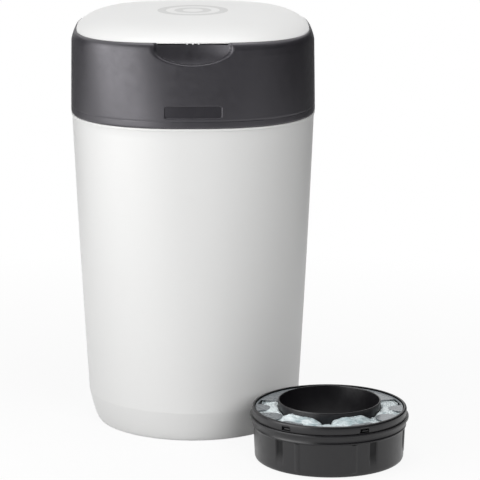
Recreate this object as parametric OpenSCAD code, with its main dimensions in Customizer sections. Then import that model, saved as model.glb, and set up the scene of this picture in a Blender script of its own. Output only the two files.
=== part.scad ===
/* [Overall] */
// Width of the head across its widest point
body_w = 263; // [246:1:280]
// Depth of the head from front to back
body_d = 255; // [240:1:275]
// Height of the lid's edge above the floor
rim_h = 435; // [380:1:480]
// Height of the head, from the bucket's rim to the lid's edge
head_h = 89.6; // [88:0.2:104]
// How far the lid's crown rises above its edge
crown_h = 16.5; // [12:0.5:24]

/* [Bucket] */
// How far the bucket's sides lie inside the head's sides, just under the rim bead
bucket_side_in = 0.9; // [0.3:0.1:3]
// How far the bucket's front and back lie inside the head's front and back
bucket_front_in = 0.8; // [0.3:0.1:3]
// Width of the bucket at the crease above its foot
crease_w = 231; // [210:1:240]
// Depth of the bucket at the crease above its foot
crease_d = 224; // [205:1:235]
// Height of the crease above the floor
crease_h = 33; // [28:1:50]
// How far the foot tapers in below the crease, at each side
foot_in = 11.5; // [9:0.5:16]
// Wall thickness of the bucket
bucket_wall = 2.6; // [2:0.1:3.2]
// Thickness of the bucket's floor
bucket_floor = 3; // [2.4:0.2:5]
// How far the side walls bow out between crease and rim
wall_bow = 0.7; // [0:0.1:2]
// Height of the bead round the rim
bead_h = 2.7; // [2:0.1:5]
// How far the bead stands out of the wall
bead_out = 0.8; // [0.4:0.1:1.2]

/* [Head] */
// Wall thickness of the head shell
shell_wall = 3.2; // [2.6:0.1:3.8]
// Width of the rolled edge between the head shell and the lid
rim_roll_w = 5; // [4:0.25:6]
// Height of the rolled edge
rim_roll_h = 14.5; // [12:0.5:20]
// Depth of the deck's top below the lid's edge
deck_drop = 10.5; // [9.5:0.25:13]
// Thickness of the deck and of the ledge that carries it
deck_t = 3; // [2.4:0.2:4]
// Width of the ledge inside the rim
ledge_w = 8; // [6:0.5:10]
// Thickness of the head's floor
base_t = 3; // [2.4:0.2:4]
// How far the head's spigot reaches into the bucket
spigot_h = 22; // [16:1:32]
// Wall thickness of the spigot
spigot_wall = 2.4; // [2:0.1:3]
// Height of the rubber seal round the spigot
seal_h = 6; // [4:0.5:9]
// Radius of the posts that carry the deck
post_r = 5; // [4:0.25:6]

/* [Thumb recess] */
// Radius of the ball that scoops the thumb recess
scoop_r = 109; // [100:1:120]
// Depth of the recess's lowest point below the lid's edge
scoop_drop = 24; // [20:0.5:28]
// How far the ball's centre stands in front of the head
scoop_out = 74.5; // [72:0.5:78]
// Wall thickness behind the recess
scoop_wall = 2.5; // [2:0.1:3.5]
// Width of the sunken plate at the front
plate_w = 60.5; // [40:0.5:80]
// Height of the sunken plate
plate_h = 13.4; // [10:0.2:18]
// Height of the plate's lower edge above the head's lower edge
plate_up = 10.4; // [8:0.2:20]
// Depth of the sunken plate
plate_sink = 0.6; // [0.3:0.1:1]

/* [Lid] */
// Wall thickness of the lid
lid_wall = 2.4; // [2:0.1:3]
// Thickness of the lid's edge
lid_edge = 0.9; // [0.6:0.1:1.2]
// Gap between the lid and the head shell
lid_gap = 0.5; // [0.3:0.1:1]
// Thickness of the lid's liner
liner_t = 2.2; // [1.8:0.1:3]
// Radius of the hinge barrel
hinge_r = 4.3; // [4:0.1:4.6]
// Width of the hinge barrel
hinge_w = 100; // [80:1:120]
// Width of the lid's own knuckle
knuckle_w = 68; // [40:1:72]
// Radius of the hinge pin
hinge_pin_r = 1.5; // [1.2:0.1:2]
// Outer radius of the ring pattern inlaid in the lid
motif_r = 38; // [24:1:44]
// Width of each ring of the pattern
motif_band = 9; // [5:0.5:10]

/* [Film cassette] */
// Radius of the cassette's wall at the floor
tub_r = 78.3; // [76:0.1:79]
// Radius of the cassette's widest flange
flange_r = 83.6; // [83:0.1:86]
// Height of the cassette to the top of its tube
cassette_h = 62; // [60:0.5:64]
// Height of the cassette's rim
cassette_rim_h = 55.5; // [54:0.5:57]
// Outer radius of the cassette's tube
core_r = 54; // [50:0.5:56]
// Wall thickness of the cassette's pieces
cassette_wall = 1.6; // [1.2:0.1:2]
// Distance of the cassette to the right of the bin's centre
cassette_x = 142; // [140:1:200]
// Distance of the cassette in front of the bin's centre
cassette_y = 157; // [155:1:220]

/* [Twist mechanism] */
// Clearance between the cassette's flange and its seat
seat_clear = 1.4; // [1:0.1:2]
// Wall thickness of the twist ring
ring_wall = 2.4; // [2:0.1:3]
// Thickness of the twist ring's floor
ring_floor = 3; // [2.4:0.1:4]
// How far the twist ring's flange stands out of its wall
ring_flange = 16; // [14:0.5:18]
// Number of ratchet teeth, a multiple of twelve
tooth_count = 48; // [36:12:60]
// Depth of a ratchet tooth
tooth_h = 4; // [3:0.25:5]
// Number of finger grips on the twist ring
grip_count = 12; // [6:1:16]
// Radius of the pawl's pin
pawl_pin_r = 2; // [1.6:0.1:2.4]

/* [Film fingers] */
// Length of a finger from its hinge to its tip
finger_len = 38; // [30:1:44]
// Width of a finger at its hinge
finger_w = 36; // [28:1:40]
// Angle of the fingers below the horizontal
finger_tilt = 30; // [20:1:40]
// Radius of a finger's hinge pins
finger_pin_r = 1.6; // [1.2:0.1:2]

/* [Hidden] */

// Colours, as the photograph shows them
white = "#f1f1f0";
charcoal = "#434247";
dark_grey = "#2c2b2f";
pale_grey = "#dcdcdc";
steel = "#b9bcc0";
mint = "#d3e6e2";
smoke = "#8d8f95";

// Facets of a curved outline, of a round piece and of a small round piece
plan_n = 96;
round_n = 96;
small_n = 32;

// Clearances: between flat faces that meet, in a running fit and round a screw
seat_gap = 0.3;
run_gap = 0.05;
screw_gap = 0.2;

// Fullness of the outlines: 2 is an ellipse, and more is squarer
foot_ex = 1.95;
skirt_ex = 2.46;
rim_ex = 2.95;
lid_ex = 3;
// How suddenly the lid's crown falls to its edge
crown_ex = 6.7;

// Heights
bucket_h = rim_h - head_h;
head_z = bucket_h + seat_gap;
base_top = head_z + base_t;
deck_top = rim_h - deck_drop;
deck_z = deck_top - deck_t;
ledge_z = deck_z - deck_t;
roll_z = rim_h - rim_roll_h;
spigot_z = head_z - spigot_h;

// Shape of the bucket and of the head shell at a height
bucket_w = body_w - 2 * bucket_side_in;
bucket_d = body_d - 2 * bucket_front_in;
foot_round = 7;
side_round = 19;
function bucket_t(z) = max(0, (z - crease_h) / (bucket_h - crease_h));
function bucket_bow(z) = wall_bow * 4 * bucket_t(z) * (1 - bucket_t(z));
function bucket_ex(z) = foot_ex + (skirt_ex - foot_ex) * bucket_t(z);
function bucket_hw(z) = (crease_w + (bucket_w - crease_w) * bucket_t(z)) / 2 + bucket_bow(z);
function bucket_hd(z) = (crease_d + (bucket_d - crease_d) * bucket_t(z)) / 2 + bucket_bow(z);
function head_ex(z) = skirt_ex + (rim_ex - skirt_ex) * min(1, (z - bucket_h) / (roll_z - bucket_h));
// The head draws in a little towards its top
head_draft = 1.4;
function head_in(z) = head_draft * pow(max(0, (z - head_z) / (roll_z - head_z)), 3);
function head_ring(z, inset) =
    [z, body_w / 2 - head_in(z) - inset, body_d / 2 - head_in(z) - inset, head_ex(z)];
function bucket_ring(z, inset) =
    [z, bucket_hw(z) - inset, bucket_hd(z) - inset, bucket_ex(z)];

// Outline of the lid's edge and of the opening that it closes
roll_in = head_in(roll_z) + rim_roll_w;
mouth_hw = body_w / 2 - roll_in;
mouth_hd = body_d / 2 - roll_in;
lid_hw = mouth_hw - lid_gap;
lid_hd = mouth_hd - lid_gap;

// Inside the head
inner_hw = body_w / 2 - shell_wall;
inner_hd = body_d / 2 - shell_wall;
lip_w = 3;
lip_h = 2.2;
spigot_gap = 1.2;
spigot_ex = bucket_ex(spigot_z);
spigot = [bucket_hw(spigot_z), bucket_hd(spigot_z)] - (bucket_wall + spigot_gap) * [1, 1];
seal_z = spigot_z + (spigot_h - seal_h) / 2;
seal_bite = 1;
groove = spigot - seal_bite * [1, 1];

// Posts at the head's four corners
post_in = 6;
post_reach = plan_r(inner_hw, inner_hd, skirt_ex, 45) - post_r - post_in;
post_x = post_reach * cos(45);
post_y = post_reach * sin(45);

// Screws
screw_r = 1.8;
screw_head_r = 3.8;
screw_head_h = 2;
deck_screw_l = 16;
small_screw_r = 1.4;
small_head_r = 2.8;
small_head_h = 1.5;

// Ball of the thumb recess
scoop_y = -body_d / 2 - scoop_out;
scoop_z = rim_h - scoop_drop + sqrt(scoop_r * scoop_r - scoop_out * scoop_out);
scoop_slot = 2.8;
scoop_top = rim_h - lid_edge - scoop_slot;

// Hinge axis, just inside the head's back
hinge_y = body_d / 2 - head_draft - hinge_r - 0.3;
hinge_z = rim_h - 2;
hinge_clear = 1;
lug_w = (hinge_w - knuckle_w) / 2 - 1;

// Lid
lid_under = rim_h - lid_edge;
liner_z = deck_top + 3.8;
liner_in = 4;
liner_wall = 2;
lid_seal_w = 5;
lid_seal_in = 16.1;
boss_x = 55;
boss_y = 50;
boss_r = 4;
lid_screw_l = 7;
nub_pitch = 6;
nub_w = 1.4;
nub_h = 0.8;
motif_t = 0.8;
motif_gap = 0.1;

// Twist ring, which carries the cassette
glide_t = 1.2;
glide_in = 2;
glide_w = 7;
seat_r = flange_r + seat_clear;
ring_r = seat_r + ring_wall;
ring_z = base_top + glide_t + seat_gap;
ring_floor_top = ring_z + ring_floor;
ring_flange_t = 4;
ring_top = deck_z - 1;
flange_out_r = ring_r + ring_flange;
deck_hole_r = flange_out_r - 7.5;
film_hole_r = core_r + 1;
collar_r = film_hole_r + 2.5;
grip_h = 5.5;
grip_w = 5;
key_w = 7;
key_h = 34;
key_gap = 1;

// Ratchet and pawl: the pawl's nose lies in the tooth gap at the ring's left
tooth_z = ring_floor_top;
tooth_t = 7;
pitch = 360 / tooth_count;
tip_r = ring_r + tooth_h;
pawl_t = tooth_t - 2;
pawl_z = tooth_z + 1;
nose_gap = 0.5;
nose_out = 4;
pivot_r = tip_r + 11;
pivot_a = 180 - 15;
pivot_x = pivot_r * cos(pivot_a);
pivot_y = pivot_r * sin(pivot_a);
hub_r = 4.5;
spring_wire = 0.8;
spring_turns = 4;
spring_r = pawl_pin_r + 1.3;

// Fingers, hung from a ring under the head's floor
finger_count = 6;
finger_ring_t = 3;
finger_ring_z = head_z - finger_ring_t;
finger_hinge_out = 7.5;
finger_hinge_r = collar_r + finger_hinge_out;
finger_hinge_drop = 5.2;
finger_hinge_z = finger_ring_z - finger_hinge_drop;
finger_t = 1.8;
finger_tip_w = 12;
lug_t = 3;
lug_d = 8;
lug_below = 3.2;
finger_ring_clear = 2;
finger_ring_in = collar_r + finger_ring_clear;
finger_ring_rim = 8;
finger_ring_out = finger_hinge_r + finger_ring_rim;
ring_screw_count = 3;
ring_screw_a = 30;
ring_screw_in = 4;
ring_screw_r = finger_ring_out - ring_screw_in;

// Film cutter under the head's floor
cutter_back = 28.3;
cutter_y = inner_hd - cutter_back;
cutter_w = 34;
cutter_d = 9;
cutter_h = 24;
cutter_slot = 3.2;
cutter_screw_x = cutter_w / 2 - 4;
blade_t = 0.5;

// Cassette
cassette_flange_z = 43.5;
cassette_flange_t = 3;
cassette_bead_z = 35;
draft = 1.3;
clip_w = 10;
clip_h = 2.6;
clip_z = cassette_flange_z + cassette_flange_t + 0.7;
clip_angle = -126;
pad_angle = -128;
pad_span = 22;
pad_sink = 0.5;
collar_in_r = tub_r + draft - cassette_wall - 1.2;
guard_z = cassette_rim_h - cassette_wall - 1.2;
guard_t = 0.8;
guard_w = 3;
tongue_r = 8.5;
guard_angles = [180, -148, 148, 0, -32, 32, 90, 118, 62];

// Radius of an outline of half width hw, half depth hd and fullness ex, at angle a
function plan_r(hw, hd, ex, a) =
    1 / pow(pow(abs(cos(a)) / hw, ex) + pow(abs(sin(a)) / hd, ex), 1 / ex);
function plan(hw, hd, ex) =
    [for (i = [0 : plan_n - 1]) let (a = 360 * i / plan_n, r = plan_r(hw, hd, ex, a))
        [r * cos(a), r * sin(a)]];

// Skin through outlines [height, half width, half depth, fullness]. Closed, it joins
// the last outline to the first and has a hole through it; otherwise both ends are capped.
module loft(rings, closed = false) {
    m = len(rings);
    points = [for (g = rings) each [for (p = plan(g[1], g[2], g[3])) [p[0], p[1], g[0]]]];
    sides = [for (j = [0 : closed ? m - 1 : m - 2]) for (i = [0 : plan_n - 1])
        let (k = (i + 1) % plan_n, lo = j * plan_n, hi = ((j + 1) % m) * plan_n)
        each [[lo + i, hi + i, hi + k], [lo + i, hi + k, lo + k]]];
    first_cap = [for (i = [0 : plan_n - 1]) i];
    last_cap = [for (i = [plan_n - 1 : -1 : 0]) (m - 1) * plan_n + i];
    polyhedron(points = points, faces = closed ? sides : concat(sides, [first_cap, last_cap]));
}

// Upright plate with a curved outline
module slab(hw, hd, ex, z, h) {
    translate([0, 0, z]) linear_extrude(h) polygon(plan(hw, hd, ex));
}

// Upright band between two curved outlines of half widths and half depths a and b
module band(a, b, ex, z, h) {
    translate([0, 0, z]) linear_extrude(h) difference() {
        polygon(plan(a[0], a[1], ex));
        polygon(plan(b[0], b[1], ex));
    }
}

// Upright tube, or a disc where the inner radius is 0
module tube(r_out, r_in, z, h, n = round_n) {
    translate([0, 0, z]) difference() {
        cylinder(r = r_out, h = h, $fn = n);
        if (r_in > 0) translate([0, 0, -1]) cylinder(r = r_in, h = h + 2, $fn = n);
    }
}

// Level cylinder along X, centred on x = 0
module bar(r, w, y, z, n = small_n) {
    translate([-w / 2, y, z]) rotate([0, 90, 0]) cylinder(r = r, h = w, $fn = n);
}

module around(count, start = 0) {
    for (i = [0 : count - 1]) rotate([0, 0, start + 360 * i / count]) children();
}

module at_corners(x, y) {
    for (sx = [-1, 1], sy = [-1, 1]) translate([sx * x, sy * y, 0]) children();
}

// Pan-head screw with the underside of its head at z = 0 and its shank below
module screw(r, l, head_r, head_h) {
    translate([0, 0, -l]) cylinder(r = r, h = l, $fn = small_n);
    difference() {
        cylinder(r = head_r, h = head_h, $fn = small_n);
        for (a = [0, 90]) rotate([0, 0, a])
            translate([-head_r * 0.6, -0.4, head_h - 0.8]) cube([head_r * 1.2, 0.8, 1]);
    }
}

module scoop_ball(extra = 0) {
    translate([0, scoop_y, scoop_z]) sphere(r = scoop_r + extra, $fn = 128);
}

// White bucket: a foot that rounds in below the crease, tapered sides and a rim bead
module bucket() {
    foot_hw = crease_w / 2 - foot_in;
    foot_hd = crease_d / 2 - foot_in;
    foot = [
        [0, foot_hw, foot_hd, foot_ex],
        [foot_round * 0.25, foot_hw + foot_in * 0.27, foot_hd + foot_in * 0.27, foot_ex],
        [foot_round, foot_hw + foot_in * 0.56, foot_hd + foot_in * 0.56, foot_ex],
        [side_round, foot_hw + foot_in * 0.87, foot_hd + foot_in * 0.87, foot_ex]];
    wall_top = bucket_h - bead_h - 0.4;
    wall = [for (i = [0 : 5]) bucket_ring(crease_h + (wall_top - crease_h) * i / 5, 0)];
    bead = [for (p = [[-bead_h, -bead_out], [-0.5, -bead_out], [0, 0.5 - bead_out]])
        bucket_ring(bucket_h + p[0], p[1])];
    inside = [for (z = [bucket_h, spigot_z, bucket_h * 0.6, bucket_h * 0.3, crease_h])
        bucket_ring(z, bucket_wall)];
    inner_foot = [for (g = [foot[3], foot[2]])
        [g[0] + bucket_floor * 0.6, g[1] - bucket_wall, g[2] - bucket_wall, g[3]]];
    floor_ring = [bucket_floor, foot_hw - 1, foot_hd - 1, foot_ex];
    color(white) loft(concat(foot, wall, bead, inside, inner_foot, [floor_ring]));
}

// Charcoal shell of the head, with the thumb recess, the bare plate and the hinge gap
module head_shell() {
    roll_steps = 6;
    skirt = [head_ring(head_z, 0.9), head_ring(head_z + 0.9, 0.1),
        for (i = [0 : 3]) head_ring(head_z + 4 + (roll_z - head_z - 4) * i / 3, 0)];
    roll = [for (i = [1 : roll_steps])
        let (a = 90 * i / roll_steps, w = roll_in - rim_roll_w * cos(a))
        [roll_z + rim_roll_h * sin(a), body_w / 2 - w, body_d / 2 - w,
            rim_ex + (lid_ex - rim_ex) * i / roll_steps]];
    lip_z = base_top + seat_gap;
    inside = [
        [rim_h - 0.4, mouth_hw, mouth_hd, lid_ex],
        [deck_z, mouth_hw, mouth_hd, lid_ex],
        [deck_z, mouth_hw - ledge_w, mouth_hd - ledge_w, lid_ex],
        [ledge_z, mouth_hw - ledge_w, mouth_hd - ledge_w, lid_ex],
        head_ring(ledge_z - deck_t, shell_wall),
        head_ring(lip_z + 2 * lip_h, shell_wall),
        [lip_z + lip_h, inner_hw - lip_w, inner_hd - lip_w, skirt_ex],
        [lip_z, inner_hw - lip_w, inner_hd - lip_w, skirt_ex],
        [lip_z, inner_hw, inner_hd, skirt_ex],
        [head_z, inner_hw, inner_hd, skirt_ex]];
    low_z = rim_h - scoop_drop - 4;
    mid_z = deck_z;
    color(charcoal) difference() {
        union() {
            loft(concat(skirt, roll, inside), closed = true);
            intersection() {
                scoop_ball(scoop_wall);
                union() {
                    slab(body_w / 2 - 2.4, body_d / 2 - 2.4, head_ex(low_z), low_z, mid_z - low_z);
                    slab(mouth_hw + 1.2, mouth_hd + 1.2, lid_ex, mid_z - 1, scoop_top - mid_z + 1);
                }
            }
        }
        scoop_ball();
        hinge_gap();
        plate_cut();
    }
}

// Room for the hinge barrel in the back of the rim
module hinge_gap() {
    translate([-hinge_w / 2 - 1, mouth_hd - 12, deck_top]) cube([hinge_w + 2, 40, 40]);
}

// Sunken plate that follows the curve of the front
module plate_cut() {
    z = head_z + plate_up;
    corner = 3;
    ring = head_ring(z + plate_h / 2, plate_sink);
    difference() {
        translate([0, -body_d / 2 + 14, z]) rotate([90, 0, 0]) linear_extrude(20) hull()
            for (x = [-1, 1], up = [corner, plate_h - corner])
                translate([x * (plate_w / 2 - corner), up]) circle(r = corner, $fn = 24);
        slab(ring[1], ring[2], ring[3], z - 1, plate_h + 2);
    }
}

// Floor of the head, with the spigot that enters the bucket and the deck's posts
module head_base() {
    color(charcoal) difference() {
        union() {
            slab(inner_hw - 0.4, inner_hd - 0.4, skirt_ex, head_z, base_t);
            band(spigot, spigot - spigot_wall * [1, 1], spigot_ex, spigot_z, spigot_h + 1);
            at_corners(post_x, post_y) tube(post_r, 0, head_z + 1, deck_z - head_z - 1, small_n);
            translate([pivot_x, pivot_y, 0]) tube(hub_r, 0, head_z + 1, pawl_z - head_z - 1.4, small_n);
        }
        band(spigot + [1, 1], groove, spigot_ex, seal_z, seal_h);
        translate([0, 0, head_z - 1])
            cylinder(r = collar_r + run_gap, h = base_t + 2, $fn = round_n);
        at_corners(post_x, post_y)
            tube(screw_r + run_gap, 0, deck_top - deck_screw_l - 2, deck_screw_l + 2, small_n);
        translate([pivot_x, pivot_y, 0])
            tube(pawl_pin_r + run_gap, 0, head_z - 1, pawl_z - head_z + 2, small_n);
        around(ring_screw_count, ring_screw_a) translate([ring_screw_r, 0, 0])
            tube(small_screw_r + run_gap, 0, head_z - 1, base_t + 2, small_n);
        for (x = [-1, 1]) translate([x * cutter_screw_x, cutter_y, 0])
            tube(small_screw_r + run_gap, 0, head_z - 1, base_t + 2, small_n);
    }
}

// Rubber seal in the spigot's groove
module head_seal() {
    outer = [bucket_hw(seal_z), bucket_hd(seal_z)] - (bucket_wall + seat_gap) * [1, 1];
    color(dark_grey) band(outer, groove, spigot_ex, seal_z, seal_h);
}

// Deck inside the rim, with the round hole over the twist ring and the hinge lugs
module deck() {
    gap = 0.4;
    color(white) difference() {
        union() {
            slab(mouth_hw - gap, mouth_hd - gap, lid_ex, deck_z, deck_t);
            for (x = [-1, 1]) translate([x * (hinge_w / 2 - lug_w / 2), 0, 0]) hinge_lug();
            tube(deck_hole_r + 2, 0, deck_top - 1, 2);
        }
        translate([0, 0, deck_z - 1]) cylinder(r = deck_hole_r, h = deck_t + 4, $fn = round_n);
        bar(hinge_pin_r + run_gap, hinge_w + 2, hinge_y, hinge_z);
        at_corners(post_x, post_y) tube(screw_r + screw_gap, 0, deck_z - 1, deck_t + 2, small_n);
        scoop_ball(scoop_wall + 0.5);
    }
}

// Lug that holds one end of the hinge pin, on a foot that stays inside the deck's edge
module hinge_lug() {
    back_y = hinge_y - hinge_r;
    foot_d = 4;
    bar(hinge_r, lug_w, hinge_y, hinge_z);
    translate([-lug_w / 2, back_y, deck_top + seat_gap])
        cube([lug_w, 2 * hinge_r - 0.6, hinge_z - deck_top - seat_gap]);
    translate([-lug_w / 2, back_y - foot_d + 0.7, deck_top - 1]) cube([lug_w, foot_d, 3]);
}

module deck_screws() {
    color(steel) at_corners(post_x, post_y) translate([0, 0, deck_top])
        screw(screw_r, deck_screw_l, screw_head_r, screw_head_h);
}

module hinge_pin() {
    color(steel) bar(hinge_pin_r, hinge_w, hinge_y, hinge_z);
}

// Slippery ring that the twist ring turns on
module glide_ring() {
    color(smoke) tube(ring_r - glide_in, ring_r - glide_in - glide_w, base_top, glide_t);
}

// Ring under the head's floor with a pair of lugs for each finger
module finger_ring() {
    lug_x = finger_w / 2 + seat_gap;
    color(dark_grey) difference() {
        union() {
            tube(finger_ring_out, finger_ring_in, finger_ring_z, finger_ring_t);
            around(finger_count) for (y = [-lug_x - lug_t, lug_x])
                translate([finger_hinge_r - lug_d / 2, y, finger_hinge_z - lug_below])
                    cube([lug_d, lug_t, finger_hinge_drop + lug_below + 1]);
        }
        around(finger_count) translate([finger_hinge_r, -lug_x - lug_t - 1, finger_hinge_z])
            rotate([-90, 0, 0])
                cylinder(r = finger_pin_r + run_gap, h = 2 * (lug_x + lug_t + 1), $fn = small_n);
        around(ring_screw_count, ring_screw_a) translate([ring_screw_r, 0, 0])
            tube(small_screw_r + screw_gap, 0, finger_ring_z - 1, finger_ring_t + 2, small_n);
    }
}

module finger_ring_screws() {
    color(steel) around(ring_screw_count, ring_screw_a) translate([ring_screw_r, 0, finger_ring_z])
        rotate([180, 0, 0]) screw(small_screw_r, finger_ring_t + base_t - 0.5,
            small_head_r, small_head_h);
}

// Sprung finger that holds the wrapped film: it stands at angle a and tilts inwards
module finger(a) {
    color(smoke) rotate([0, 0, a]) translate([finger_hinge_r, 0, finger_hinge_z])
        rotate([0, -finger_tilt, 0]) {
            translate([0, -finger_w / 2 - lug_t, 0]) rotate([-90, 0, 0])
                cylinder(r = finger_pin_r, h = finger_w + 2 * lug_t, $fn = small_n);
            translate([0, -finger_w / 2, 0]) rotate([-90, 0, 0])
                cylinder(r = finger_pin_r + 1.2, h = finger_w, $fn = small_n);
            translate([0, 0, -finger_t / 2]) linear_extrude(finger_t) {
                polygon([[0, -finger_w / 2], [0, finger_w / 2],
                    [-finger_len + finger_tip_w / 2, finger_tip_w / 2],
                    [-finger_len + finger_tip_w / 2, -finger_tip_w / 2]]);
                translate([-finger_len + finger_tip_w / 2, 0])
                    circle(r = finger_tip_w / 2, $fn = small_n);
            }
        }
}

function finger_angle(i) = 360 * (i - 1) / finger_count;
module finger_1() { finger(finger_angle(1)); }
module finger_2() { finger(finger_angle(2)); }
module finger_3() { finger(finger_angle(3)); }
module finger_4() { finger(finger_angle(4)); }
module finger_5() { finger(finger_angle(5)); }
module finger_6() { finger(finger_angle(6)); }

// Ring that holds the cassette and is turned by hand to twist the film
module twist_ring() {
    key_in = tub_r + draft + key_gap;
    color(white) {
        rotate_extrude($fn = round_n) polygon([
            [film_hole_r, head_z + 0.2], [collar_r, head_z + 0.2], [collar_r, ring_z],
            [ring_r, ring_z], [ring_r, ring_top - ring_flange_t],
            [flange_out_r, ring_top - ring_flange_t], [flange_out_r, ring_top],
            [seat_r, ring_top], [seat_r, ring_floor_top], [film_hole_r, ring_floor_top]]);
        around(grip_count) translate([seat_r + 1, -grip_w / 2, ring_top - 1])
            cube([deck_hole_r - seat_r - 2.5, grip_w, grip_h + 1]);
        around(6) translate([key_in, -key_w / 2, ring_floor_top - 1])
            cube([seat_r - key_in + 1, key_w, key_h]);
        translate([0, 0, tooth_z]) linear_extrude(tooth_t) ratchet_outline();
    }
}

// Sawtooth ring: each tooth rises over its pitch and drops straight back
module ratchet_outline() {
    root_r = ring_r - 0.4;
    difference() {
        polygon([for (i = [0 : tooth_count - 1]) let (a = 180 + i * pitch) each [
            [root_r * cos(a), root_r * sin(a)],
            [tip_r * cos(a + pitch * 0.94), tip_r * sin(a + pitch * 0.94)],
            [tip_r * cos(a + pitch * 0.99), tip_r * sin(a + pitch * 0.99)]]]);
        circle(r = ring_r - 1, $fn = round_n);
    }
}

// Pawl that clicks over the ratchet teeth
module click_pawl() {
    start_a = 180 + pitch * 0.06;
    end_a = 180 + pitch * 0.6;
    out_r = tip_r + nose_out;
    low_r = ring_r + tooth_h * 0.64 + nose_gap;
    color(smoke) translate([0, 0, pawl_z]) linear_extrude(pawl_t) difference() {
        union() {
            polygon([
                [(ring_r + nose_gap + 0.3) * cos(start_a), (ring_r + nose_gap + 0.3) * sin(start_a)],
                [out_r * cos(start_a), out_r * sin(start_a)],
                [out_r * cos(end_a), out_r * sin(end_a)],
                [low_r * cos(end_a), low_r * sin(end_a)]]);
            hull() {
                translate([-tip_r - 2.6, -1.5]) circle(r = 1.8, $fn = small_n);
                translate([pivot_x, pivot_y]) circle(r = hub_r - 1.5, $fn = small_n);
            }
            translate([pivot_x, pivot_y]) circle(r = hub_r, $fn = small_n);
        }
        translate([pivot_x, pivot_y]) circle(r = pawl_pin_r + run_gap, $fn = small_n);
    }
}

// Steel pin that the pawl swings on
module pawl_pin() {
    color(steel) translate([pivot_x, pivot_y, 0])
        tube(pawl_pin_r, 0, head_z, pawl_z + pawl_t + 6.5 - head_z, small_n);
}

// Torsion spring over the pawl, wound round its pin
module pawl_spring() {
    sides = 6;
    steps = 16;
    rings = spring_turns * steps;
    rise = spring_wire * 1.35;
    z0 = pawl_z + pawl_t + 0.3 + spring_wire / 2;
    points = [for (i = [0 : rings]) for (j = [0 : sides - 1])
        let (a = 360 * i / steps, b = 360 * j / sides,
            r = spring_r + spring_wire / 2 * cos(b))
        [r * cos(a), r * sin(a), z0 + rise * i / steps + spring_wire / 2 * sin(b)]];
    walls = [for (i = [0 : rings - 1]) for (j = [0 : sides - 1])
        let (k = (j + 1) % sides)
        each [[i * sides + j, (i + 1) * sides + j, (i + 1) * sides + k],
            [i * sides + j, (i + 1) * sides + k, i * sides + k]]];
    ends = [[for (j = [0 : sides - 1]) j], [for (j = [sides - 1 : -1 : 0]) rings * sides + j]];
    color(steel) translate([pivot_x, pivot_y, 0])
        polyhedron(points = points, faces = concat(walls, ends));
}

// Guard of the film cutter, with a slot that leads the film onto the blade
module cutter_guard() {
    color(dark_grey) difference() {
        translate([-cutter_w / 2, cutter_y - cutter_d / 2, head_z - cutter_h])
            cube([cutter_w, cutter_d, cutter_h]);
        translate([-cutter_slot / 2, cutter_y - cutter_d, head_z - cutter_h - 1])
            cube([cutter_slot, 2 * cutter_d, cutter_h * 0.7]);
        translate([-cutter_w / 2 + 3, cutter_y - blade_t / 2 - 0.1, head_z - cutter_h + 5])
            cube([cutter_w - 6, blade_t + 0.2, cutter_h - 10]);
        for (x = [-1, 1]) translate([x * cutter_screw_x, cutter_y, 0])
            tube(small_screw_r + screw_gap, 0, head_z - 4, 5, small_n);
        for (x = [-1, 1]) translate([x * cutter_screw_x, cutter_y, 0])
            tube(small_head_r + screw_gap, 0, head_z - cutter_h - 1, cutter_h - 2.5, small_n);
    }
}

module cutter_blade() {
    blade_w = cutter_w - 2 * (small_head_r + 5);
    color(steel) translate([-blade_w / 2, cutter_y - blade_t / 2, head_z - cutter_h * 0.55])
        cube([blade_w, blade_t, cutter_h * 0.25]);
}

module cutter_screws() {
    color(steel) for (x = [-1, 1])
        translate([x * cutter_screw_x, cutter_y, head_z - 3.5])
            rotate([180, 0, 0]) screw(small_screw_r, 3 + base_t, small_head_r, small_head_h);
}

// Height of the lid's top at a share p of the way from its centre to its edge
function crown_z(p) = rim_h + crown_h * (1 - pow(p, crown_ex));

// White lid: a pillow-shaped skin with a lip all round and bosses for its screws
module lid_shell() {
    inside = [for (p = [0.4, 0.65, 0.78, 0.87, 0.945])
        [crown_z(p) - lid_wall, lid_hw * p, lid_hd * p, lid_ex]];
    lip = [
        [lid_under, lid_hw * 0.955, lid_hd * 0.955, lid_ex],
        [lid_under, lid_hw - 0.3, lid_hd - 0.3, lid_ex],
        [lid_under + 0.3, lid_hw, lid_hd, lid_ex]];
    outside = [for (p = [1, 0.985, 0.96, 0.92, 0.87, 0.81, 0.74, 0.65, 0.54, 0.4])
        [crown_z(p), lid_hw * p, lid_hd * p, lid_ex]];
    boss_z = liner_z + liner_t;
    boss_top = rim_h + crown_h - lid_wall / 2;
    color(white) difference() {
        union() {
            loft(concat(inside, lip, outside));
            at_corners(boss_x, boss_y) tube(boss_r, 0, boss_z, boss_top - boss_z, small_n);
            for (x = [-1 : 1]) translate([x * nub_pitch - nub_w / 2, 0.1 - lid_hd, lid_under - nub_h])
                cube([nub_w, nub_w, 2 * nub_h]);
        }
        at_corners(boss_x, boss_y)
            tube(small_screw_r + run_gap, 0, boss_z - 1, lid_screw_l + 1, small_n);
        translate([0, 0, crown_z(0.4) - motif_t]) motif_bands(motif_gap, 2);
        bar(hinge_r + hinge_clear, hinge_w + 22, hinge_y, hinge_z);
    }
}

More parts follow.
